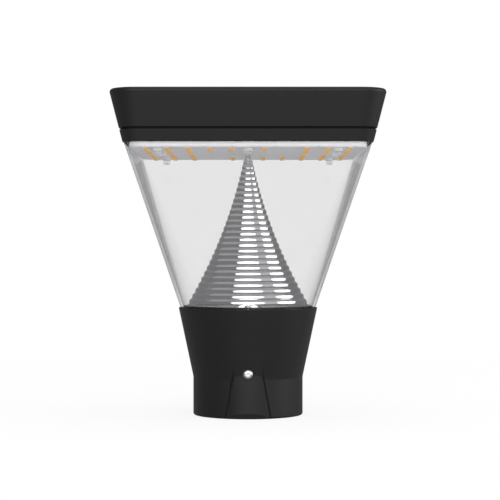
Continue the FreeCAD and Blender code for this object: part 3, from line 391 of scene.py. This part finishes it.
def make_polycarbonate():
    clear = Finish("clear polycarbonate")
    flow = clear.noise(26.0)
    ripple = clear.bump(flow, 0.5, 0.25)
    mirrored = clear.slant(ripple) ** 5.0 * (1.0 - SQUARE_ON) + SQUARE_ON + flow * 0.01
    mirrored = clear.maths("MINIMUM", mirrored, EDGE_ON)
    film = clear.node("BsdfTransparent", None, {"Color": FILM})
    skin = clear.principled(
        Base_Color=clear.blend(flow, (0.93, 0.93, 0.94), (0.97, 0.97, 0.98)),
        Metallic=1.0,
        Roughness=0.05 + flow * 0.03,
        Normal=ripple,
    )
    return clear.done(clear.mix(mirrored.clamped(), film, skin))


POLYCARBONATE = make_polycarbonate()

# %% [markdown]
# ## Metals
# The cone is moulded plastic with a vacuum coat of bright metal, and the mould leaves a faint
# ripple in it. The clamp screws are bright stainless, the screws of the cone are blasted and
# paler. Hidden hardware is zinc plated: greyer and duller, with patches.

# %% Metals
def make_chrome():
    chrome = Finish("chrome plate")
    cloud = chrome.noise(9.0)
    fine = chrome.noise(0.8, detail=1.0)
    return chrome.done(
        chrome.principled(
            Base_Color=chrome.blend(cloud, (0.60, 0.60, 0.615), (0.66, 0.66, 0.67)),
            Metallic=1.0,
            Roughness=0.045 + cloud * 0.05,
            Normal=chrome.bump(cloud + fine * 0.2, 0.02, 0.35),
        )
    )


def make_metal(name, low, high, rough, patch):
    """A metal of two tones in patches that many millimetres across, with fine scratches."""
    metal = Finish(name)
    patches = metal.noise(patch, detail=3.0)
    scratch = metal.noise(0.22, detail=1.0)
    return metal.done(
        metal.principled(
            Base_Color=metal.blend(patches, low, high),
            Metallic=1.0,
            Roughness=rough + patches * 0.12,
            Normal=metal.bump(scratch, 0.01, 0.4),
        )
    )


CHROME = make_chrome()
STAINLESS = make_metal("stainless", (0.66, 0.66, 0.67), (0.76, 0.76, 0.77), 0.24, 2.5)
BLASTED_STEEL = make_metal("blasted stainless", (0.80, 0.80, 0.81), (0.88, 0.88, 0.89), 0.46, 2.0)
ZINC_STEEL = make_metal("zinc steel", (0.42, 0.43, 0.45), (0.60, 0.61, 0.62), 0.30, 4.0)

# %% [markdown]
# ## Rubber, plastics and coats
# What is neither metal nor clear differs only in tone, gloss and grain, so one recipe makes
# them all from a table.

# %% Rubber, plastics and coats
DULL_FINISHES = {
    # name: (darker tone, paler tone, roughness, patch, grain, height of the grain, shine)
    "black seal": ((0.004, 0.004, 0.004), (0.009, 0.009, 0.009), 0.72, 6.0, 0.5, 0.05, 0.15),
    "white coat": ((0.89, 0.89, 0.90), (0.93, 0.93, 0.94), 0.45, 24.0, 0.9, 0.02, 0.5),
    "grey plastic": ((0.26, 0.27, 0.28), (0.33, 0.34, 0.35), 0.5, 12.0, 0.4, 0.04, 0.5),
    "white plastic": ((0.80, 0.80, 0.79), (0.86, 0.86, 0.85), 0.4, 5.0, 0.4, 0.02, 0.5),
    # black finish given to the cone's flange, for the dark band at the foot of the cone
    "black flange": ((0.012, 0.012, 0.013), (0.020, 0.020, 0.021), 0.40, 8.0, 0.5, 0.02, 0.5),
    "cable jacket": ((0.030, 0.030, 0.031), (0.05, 0.05, 0.05), 0.55, 3.0, 0.3, 0.03, 0.5),
}


def make_dull(name, low, high, rough, patch, grain, height, shine):
    """A finish that is not metal: two tones, a drift in gloss and a grain."""
    dull = Finish(name)
    drift = dull.noise(patch, detail=3.0)
    return dull.done(
        dull.principled(
            Base_Color=dull.blend(drift, low, high),
            Roughness=rough + drift * 0.1,
            Specular_IOR_Level=shine,
            Normal=dull.bump(dull.noise(grain), height, 0.6),
        )
    )


DULL = {name: make_dull(name, *recipe) for name, recipe in DULL_FINISHES.items()}

# %% [markdown]
# ## Nylon
# The screws of the board are undyed nylon. It is half clear, so the board and its packages
# show through their heads.

# %% Nylon
MILKY = 0.18  # share of the light that the nylon holds back, seen squarely
MILKY_EDGE = 0.36  # and how much more where it is seen along its side


def make_nylon():
    nylon = Finish("natural nylon")
    drift = nylon.noise(4.0, detail=3.0)
    grain = nylon.bump(nylon.noise(0.6), 0.02, 0.5)
    held = nylon.slant(grain) ** 3.0 * MILKY_EDGE + MILKY + drift * 0.06
    film = nylon.node("BsdfTransparent", None, {"Color": (0.985, 0.984, 0.980)})
    body = nylon.principled(
        Base_Color=nylon.blend(drift, (0.78, 0.78, 0.77), (0.85, 0.85, 0.84)),
        Roughness=0.22 + drift * 0.1,
        Normal=grain,
    )
    return nylon.done(nylon.mix(held.clamped(), film, body))


NATURAL_NYLON = make_nylon()

# %% [markdown]
# ## Circuit board
# White solder resist over copper on an aluminium core. Under the resist the copper stands a few
# hundredths proud, in broad fields split by narrow gaps that follow the rows of packages. A
# brick pattern at the pitch of the rows draws the gaps, and feeds tone and bump alike.

# %% Circuit board
LED_MIDDLE = 15.7  # of the first row, from the axis
LED_PITCH = 20.4
GAP_WIDTH = 0.03  # of the pitch


def make_board():
    board = Finish("white board")
    point = board.node("TexCoord", out="Object")
    scale = 1.0 / (MM * LED_PITCH)
    start = 0.5 - (LED_MIDDLE % LED_PITCH) / LED_PITCH
    placing = {"Vector": point, "Scale": (scale, scale, scale), "Location": (start, start, 0.0)}
    bricks = {
        "Vector": board.node("Mapping", None, placing),
        "Scale": 1.0,
        "Mortar Size": GAP_WIDTH,
        "Mortar Smooth": 0.4,
        "Brick Width": 2.0,
        "Row Height": 1.0,
    }
    gaps = board.node("TexBrick", {"offset": 0.5}, bricks, out="Fac")
    drift = board.noise(30.0)
    colour = board.blend(drift, (0.74, 0.74, 0.77), (0.80, 0.80, 0.82))
    return board.done(
        board.principled(
            Base_Color=board.blend(gaps * 0.6, colour, (0.60, 0.61, 0.58)),
            Roughness=0.32 + drift * 0.1,
            Normal=board.bump(1 - gaps, 0.06, 0.7),
        )
    )


WHITE_BOARD = make_board()

# %% [markdown]
# ## Amber packages
# Each light source is a small square of silicone loaded with amber phosphor over a white carrier.
# Unlit, the phosphor is a warm matt orange, darker where it lies thick.

# %% Phosphor
def make_phosphor():
    phosphor = Finish("amber phosphor")
    grain = phosphor.noise(0.5, detail=3.0)
    thick = phosphor.noise(2.2, detail=1.0)
    colour = phosphor.blend(thick, (0.95, 0.50, 0.10), (0.98, 0.60, 0.17))
    return phosphor.done(
        phosphor.principled(
            Base_Color=phosphor.blend(grain * 0.3, colour, (0.82, 0.37, 0.05)),
            Roughness=0.38 + grain * 0.1,
            Normal=phosphor.bump(grain, 0.02, 0.5),
        )
    )


PHOSPHOR = make_phosphor()

# %% [markdown]
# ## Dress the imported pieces
# The record names a finish for each piece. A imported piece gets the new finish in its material
# slot and keeps its mesh. Two kinds of screw have a look of their own.

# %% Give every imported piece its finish
FINISHES = {
    "black_powder_coat": POWDER_COAT,
    "clear_polycarbonate": POLYCARBONATE,
    "black_seal": DULL["black seal"],
    "white_coat": DULL["white coat"],
    "white_board": WHITE_BOARD,
    "amber_package": PHOSPHOR,
    "chrome_plate": CHROME,
    "stainless": STAINLESS,
    "zinc_steel": ZINC_STEEL,
    "grey_plastic": DULL["grey plastic"],
    "white_plastic": DULL["white plastic"],
    "cable_jacket": DULL["cable jacket"],
}
OWN_FINISHES = {"cone_screws": BLASTED_STEEL, "board_screws": NATURAL_NYLON}

for subpart in frame["record"]["subparts"]:
    node = subpart["node"]
    for slot in NODES[node].material_slots:
        slot.material = OWN_FINISHES.get(node, FINISHES[subpart["material_slot"]])

# %% [markdown]
# ## Skins over rings
# The diffuser, the cone and the packages are all skins stretched over rings of points, from one
# level to the next. One helper makes a ring as a square with rounded corners, of which a circle
# is the limit, and another joins rings into a closed mesh.

# %% Rings and skins
CORNERS = ((1, 1), (-1, 1), (-1, -1), (1, -1))


def on_corner(half, corner, quarter, angle):
    """A point on the rounding of one corner of a square."""
    middle = Vector(CORNERS[quarter % 4]) * (half - corner)
    return middle + corner * Vector((math.cos(angle), math.sin(angle)))


def ring(half, corner, height, per_corner, per_side=1):
    """Points of a rounded square in millimetres, anticlockwise from its +X +Y corner."""
    points = []
    for quarter in range(4):
        for step in range(per_corner + 1):
            angle = math.pi / 2 * (quarter + step / per_corner)
            points.append(on_corner(half, corner, quarter, angle))
        start = points[-1]
        end = on_corner(half, corner, quarter + 1, math.pi / 2 * (quarter + 1))
        points += [start.lerp(end, step / per_side) for step in range(1, per_side)]
    return [(point.x, point.y, height) for point in points]


def skin(rings, closed=True):
    """Vertices and faces over rings; the last joins the first, or else both get a cap."""
    count = len(rings[0])
    points = [point for each in rings for point in each]
    faces = []
    for level in range(len(rings) if closed else len(rings) - 1):
        here = level * count
        there = (level + 1) % len(rings) * count
        for step in range(count):
            after = (step + 1) % count
            faces.append((here + step, here + after, there + after, there + step))
    if not closed:
        faces.append(tuple(reversed(range(count))))
        faces.append(tuple(range(len(points) - count, len(points))))
    return points, faces


def mesh_object(name, points, faces):
    """A mesh in the scene, from points in millimetres."""
    mesh = bpy.data.meshes.new(name)
    mesh.from_pydata([tuple(value * MM for value in point) for point in points], [], faces)
    made = bpy.data.objects.new(name, mesh)
    bpy.context.scene.collection.objects.link(made)
    return made


SAME_POINT = 1e-7


def piece(name, points, faces, finish, body="lantern", sharp=30.0):
    """A smooth mesh that rides on a body, crisp where it turns by more than `sharp` degrees."""
    made = mesh_object(name, points, faces)
    mesh = made.data
    cleaned = bmesh.new()
    cleaned.from_mesh(mesh)
    bmesh.ops.remove_doubles(cleaned, verts=cleaned.verts, dist=SAME_POINT)
    bmesh.ops.recalc_face_normals(cleaned, faces=cleaned.faces)
    cleaned.to_mesh(mesh)
    cleaned.free()
    mesh.polygons.foreach_set("use_smooth", [True] * len(mesh.polygons))
    mesh.set_sharp_from_angle(angle=math.radians(sharp))
    mesh.materials.append(finish)
    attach(made, body)
    print("piece:", name, len(mesh.vertices), "vertices")
    return made


def box_mm(node):
    """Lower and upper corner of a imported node, in millimetres."""
    low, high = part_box(node)
    return low / MM, high / MM


# %% [markdown]
# ## Diffuser
# One clear moulding, round where it stands in the base and square where it meets the head. Each
# level is a ring between the two, so the walls stay straight from foot to rim as they are in the
# mould. The skin goes up the outside, over the rim's flange, down the inside and under the foot.

# %% Diffuser
LENS_WALL = 3.0
LENS_CORNER = 14.3
LENS_EDGE = 0.5  # bevel of the rim
LENS_FLANGE_HALF = 107.0
LENS_FLANGE_CORNER = 10.0
LENS_FOOT_RADIUS = 67.7
LENS_FOOT_WIDTH = 4.2
LENS_LEVELS = 14
LENS_CORNER_STEPS = 16
LENS_SIDE_STEPS = 10
LENS_SHARP = 25.0  # edges over this many degrees are crisp
NEARLY_ROUND = 0.02  # what a full circle keeps of its sides, so that every ring has the same points
lens_low, lens_high = box_mm("diffuser")
lens_half = lens_high.x
rim_height = box_mm("base_casting")[1].z
frame_bottom = box_mm("lens_frame")[0].z


def lens_ring(half, corner, height):
    """One level of the diffuser, round or square, always with as many points."""
    rounding = min(corner, half - NEARLY_ROUND)
    return ring(half, rounding, height, LENS_CORNER_STEPS, LENS_SIDE_STEPS)


def wall_rings(inset, low, high):
    """Rings up one skin of the wall, that far inside the outer one."""
    rings = []
    for level in range(LENS_LEVELS + 1):
        share = level / LENS_LEVELS
        half = LENS_FOOT_RADIUS + (lens_half - LENS_FOOT_RADIUS) * share - inset
        corner = LENS_FOOT_RADIUS + (LENS_CORNER - LENS_FOOT_RADIUS) * share - inset
        rings.append(lens_ring(half, corner, low + (high - low) * share))
    return rings


def build_diffuser():
    rim_under = lens_high.z - LENS_WALL
    foot_top = lens_low.z + LENS_WALL
    foot_inner = LENS_FOOT_RADIUS - LENS_WALL - LENS_FOOT_WIDTH
    outer = wall_rings(0.0, rim_height, frame_bottom)
    inner = wall_rings(LENS_WALL, foot_top, frame_bottom)
    rim = [
        lens_ring(lens_half, LENS_CORNER, lens_high.z - LENS_EDGE),
        lens_ring(lens_half - LENS_EDGE, LENS_CORNER - LENS_EDGE, lens_high.z),
        lens_ring(LENS_FLANGE_HALF, LENS_FLANGE_CORNER, lens_high.z),
        lens_ring(LENS_FLANGE_HALF, LENS_FLANGE_CORNER, rim_under),
        lens_ring(lens_half - LENS_WALL, LENS_CORNER - LENS_WALL, rim_under),
    ]
    foot = [
        lens_ring(foot_inner, foot_inner, foot_top),
        lens_ring(foot_inner, foot_inner, lens_low.z),
        lens_ring(LENS_FOOT_RADIUS, LENS_FOOT_RADIUS, lens_low.z),
    ]
    points, faces = skin(outer + rim + inner[::-1] + foot)
    made = piece("clear_diffuser", points, faces, POLYCARBONATE, sharp=LENS_SHARP)
    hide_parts("diffuser")


build_diffuser()

# %% [markdown]
# ## Reflector cone
# Twenty-six steps, each an upright band over a sloping ledge. On the real moulding no edge is
# sharp: the band swells a little between its rounded edges, and draws in under them, so the grey
# between two white reflections has a dark line in it. The outline is worked out step by step and
# turned into a skin.

# %% Outline of the cone
CONE_BAYS = 26
CONE_TURN = 208  # points round the cone
TIP_RADIUS = 4.8
CONE_SLOPE = 0.21
CONE_CURVE = 0.001275
CONE_FLANGE = 1.5
BAND_SHARE = 0.55  # how far down a step its band goes
BAND_LEVELS = (0.16, 0.32, 0.48, 0.64, 0.80, 0.96)
SWELL_SHARE = 0.11  # how far a band swells, as a share of the step's width
EDGE_ROUND = 0.14
EDGE_MIDDLE = (0.35, 0.4)  # where the rounding turns, inwards and down, as shares of it
HOLLOW_SHARE = 0.655  # how far down the step its hollow lies
HOLLOW_ROUND = 0.12
UNDERCUT = 0.17  # how far the hollow goes in under the band
HOLLOW_OUT = 0.10  # how far it comes out again at its foot
cone_low, cone_high = box_mm("reflector_cone")
flange_top = cone_low.z + CONE_FLANGE
cone_pitch = (cone_high.z - flange_top) / CONE_BAYS


def cone_radius(depth):
    """Radius of the outline that far under the tip."""
    return TIP_RADIUS + CONE_SLOPE * depth + CONE_CURVE * depth**2


def step_outline(bay):
    """One step from its upper edge down: rounded edge, swelling band, undercut, ledge."""
    radius = cone_radius(bay * cone_pitch)
    width = cone_radius((bay + 1) * cone_pitch) - radius
    top = cone_high.z - bay * cone_pitch
    band = cone_pitch * BAND_SHARE
    swell = width * SWELL_SHARE
    hollow = top - cone_pitch * HOLLOW_SHARE
    inwards, down = EDGE_MIDDLE
    points = [
        (radius - EDGE_ROUND - swell, top),
        (radius - EDGE_ROUND * inwards - swell, top - EDGE_ROUND * down),
    ]
    for share in BAND_LEVELS:
        bulge = swell * (1.0 - (1.0 - share) ** 2)
        points.append((radius - swell + bulge, top - band * share))
    points.append((radius - UNDERCUT, hollow + HOLLOW_ROUND))
    points.append((radius - UNDERCUT + HOLLOW_OUT, hollow))
    points.append((radius + (width - swell) / 2, (hollow + top - cone_pitch) / 2))
    return points


def turned(outline):
    """Rings of a turned outline of (radius, height) points."""
    angles = [step * math.tau / CONE_TURN for step in range(CONE_TURN)]
    return [[(r * math.cos(a), r * math.sin(a), z) for a in angles] for r, z in outline]


print("cone:", CONE_BAYS, "steps of", round(cone_pitch, 2), "mm")


# %% [markdown]
# ## Body of the cone
# The steps are a thin shell round a hollow, with a solid tip that is bored for the wire tube. At
# the foot the shell is thicker. Three flat-backed pockets over the foot screws are cut after.
# Their backs lean in a little, so the front one shows as a white block.

# %% Body of the cone
CONE_SHARP = 34.0  # edges over this many degrees are crisp, the upper edge of each band too
CONE_WALL = 2.0
CONE_FOOT_WALL = 6.0
CONE_FOOT_HIGH = 8.0
CONE_FOOT_EDGE = 0.2
CONE_TIP = 22.0  # solid above the hollow
CONE_BORE = 3.1
HOLLOW_LEVELS = (0.0, 0.25, 0.5, 0.75, 1.0)
HOLLOW_BACK = 0.3  # of a step: how much further in the hollow stays, behind the undercuts
cone_foot = cone_radius(CONE_BAYS * cone_pitch)
foot_inside = cone_foot - CONE_FOOT_WALL


def build_cone():
    hollow_foot = flange_top + CONE_FOOT_HIGH
    hollow_top = cone_high.z - CONE_TIP
    outline = []
    for bay in range(CONE_BAYS):
        outline += step_outline(bay)
    outline += [
        (cone_foot - CONE_FOOT_EDGE, flange_top + CONE_FOOT_EDGE),
        (cone_foot, flange_top),
        (foot_inside, flange_top),
        (foot_inside, hollow_foot),
    ]
    for share in HOLLOW_LEVELS:
        height = hollow_foot + (hollow_top - hollow_foot) * share
        radius = cone_radius(cone_high.z - height)
        outline.append((radius - CONE_WALL - HOLLOW_BACK * cone_pitch, height))
    outline += [(CONE_BORE, hollow_top), (CONE_BORE, cone_high.z)]
    points, faces = skin(turned(outline))
    return piece("stepped_reflector", points, faces, CHROME, sharp=CONE_SHARP)


POCKET_BACK = 59.0  # from the axis to the foot of a pocket's back
POCKET_LEAN = 0.8  # how far the back leans in at its top, the draft of the moulding
POCKET_HALF = 8.6  # half the width of the back, at its foot
POCKET_FLARE = 2.9  # how much the upright sides open for each unit outwards
POCKET_DEPTH = 5.0
POCKET_HIGH = 4.5
POCKET_PAST = 15.0  # how far the cutting block goes on past the mouth
POCKET_FLOOR = 0.01  # what is left under a pocket
POCKET_TURNS = (-90.0, 30.0, 150.0)


def pocket_plan(lean):
    """The outline of a pocket at a level where its back leans in by that much."""
    back = POCKET_BACK - lean
    mouth = POCKET_BACK + POCKET_DEPTH
    beyond = mouth + POCKET_PAST
    opening = POCKET_HALF + POCKET_DEPTH * POCKET_FLARE
    one_side = [(back, POCKET_HALF - lean * POCKET_FLARE), (mouth, opening), (beyond, opening)]
    return [(x, -y) for x, y in one_side] + one_side[::-1]


def pocket_block(degrees):
    """The block that cuts one pocket, turned about the axis."""
    turn = Matrix.Rotation(math.radians(degrees), 3, "Z")
    low = [turn @ Vector((x, y, flange_top + POCKET_FLOOR)) for x, y in pocket_plan(0.0)]
    high = [turn @ Vector((x, y, flange_top + POCKET_HIGH)) for x, y in pocket_plan(POCKET_LEAN)]
    return mesh_object("pocket", *skin([low, high], closed=False))


def cut_pockets(cone):
    """Three flat-backed pockets with flared sides, one over each foot screw."""
    for degrees in POCKET_TURNS:
        cutter = pocket_block(degrees)
        change = cone.modifiers.new("pocket", "BOOLEAN")
        change.operation = "DIFFERENCE"
        change.object = cutter
        bpy.context.view_layer.update()
        graph = bpy.context.evaluated_depsgraph_get()
        cone.data = bpy.data.meshes.new_from_object(cone.evaluated_get(graph))
        cone.modifiers.clear()
        bpy.data.objects.remove(cutter)
    cone.data.set_sharp_from_angle(angle=math.radians(CONE_SHARP))
    print("pockets cut:", len(cone.data.polygons), "faces")


# %% [markdown]
# ## Flange of the cone
# The flange under the steps is left black, not chrome, so the foot of the cone draws a dark band over
# the rim.

# %% Flange of the cone
FLANGE_EDGE = 0.3


def build_cone_flange():
    outer = cone_high.x
    outline = [
        (foot_inside, flange_top),
        (outer - FLANGE_EDGE, flange_top),
        (outer, flange_top - FLANGE_EDGE),
        (outer, cone_low.z),
        (foot_inside, cone_low.z),
    ]
    points, faces = skin(turned(outline))
    # the flange gets a black finish, not chrome, for the dark band at the foot of the cone
    return piece("reflector_flange", points, faces, DULL["black flange"])


reflector = build_cone()
cut_pockets(reflector)
reflector_flange = build_cone_flange()
for part, slot in ((reflector, "chrome_plate"), (reflector_flange, "black_seal")):
    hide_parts("reflector_cone")

# %% [markdown]
# ## Light packages
# Seventy-eight packages hang under the board. Each is a white ceramic carrier with two solder
# fillets and a cushion of phosphor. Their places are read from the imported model, so carriers
# and cushions sit where the solids are.

# %% Light packages
CARRIER = ((2.5, 0.0), (2.5, 0.4), (2.42, 0.5))  # (half width, depth under the board)
CARRIER_CORNER = 0.3
CARRIER_STEPS = 2
CUSHION = ((2.34, 0.5), (2.38, 0.9), (2.32, 1.2), (2.12, 1.4), (1.5, 1.5))
CUSHION_CORNER = 0.5
CUSHION_STEPS = 4
FILLET = ((0.5, 1.0, 0.0), (0.3, 0.9, 0.22))  # (half length, half width, depth)
FILLET_CORNER = 0.3
FILLET_STEPS = 2
FILLET_OUT = 2.35  # from the middle of a package to the middle of its fillet
LOOKS_DOWN = -0.9  # a face whose normal is lower than this looks down


def nearest_row(value):
    """Where the row nearest to that place has its middle."""
    row = round((abs(value) - LED_MIDDLE) / LED_PITCH)
    return math.copysign(LED_MIDDLE + LED_PITCH * row, value)


def package_middles():
    """Middle of each package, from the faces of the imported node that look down."""
    middles = set()
    for polygon in NODES["led_packages"].data.polygons:
        if polygon.normal.z < LOOKS_DOWN:
            spot = polygon.center / MM
            middles.add((nearest_row(spot.x), nearest_row(spot.y)))
    return sorted(middles)


def add_block(points, faces, rings, middle):
    """Add one capped skin of rings round a middle to a growing mesh."""
    start = len(points)
    new_points, new_faces = skin(rings, closed=False)
    points += [(x + middle[0], y + middle[1], z) for x, y, z in new_points]
    faces += [tuple(start + index for index in face) for face in new_faces]


def rings_under(top, levels, corner, steps):
    """Rings of a small square block that hangs under the board."""
    return [ring(half, corner, top - depth, steps) for half, depth in levels]


def fillet_ring(side, half_length, half_width, height):
    """A small ring drawn out beside a package."""
    corners = ring(1.0, FILLET_CORNER, height, FILLET_STEPS)
    return [(x * half_length + side * FILLET_OUT, y * half_width, z) for x, y, z in corners]


def build_packages():
    top = box_mm("led_packages")[1].z
    carriers, cushions, fillets = ([], []), ([], []), ([], [])
    middles = package_middles()
    for middle in middles:
        add_block(*carriers, rings_under(top, CARRIER, CARRIER_CORNER, CARRIER_STEPS), middle)
        add_block(*cushions, rings_under(top, CUSHION, CUSHION_CORNER, CUSHION_STEPS), middle)
        for side in (-1, 1):
            fillet = [fillet_ring(side, long, wide, top - depth) for long, wide, depth in FILLET]
            add_block(*fillets, fillet, middle)
    for name, (points, faces), finish, slot in (
        ("package_carriers", carriers, DULL["white plastic"], "white_plastic"),
        ("phosphor_cushions", cushions, PHOSPHOR, "amber_package"),
        ("solder_fillets", fillets, ZINC_STEEL, "zinc_steel"),
    ):
        made = piece(name, points, faces, finish)
        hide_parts("led_packages")
    print("packages:", len(middles))


build_packages()

# %% [markdown]
# ## Update the scene
# The dressed model must stay inside the box of the imported one.

# %% Update the scene
bpy.context.view_layer.update()
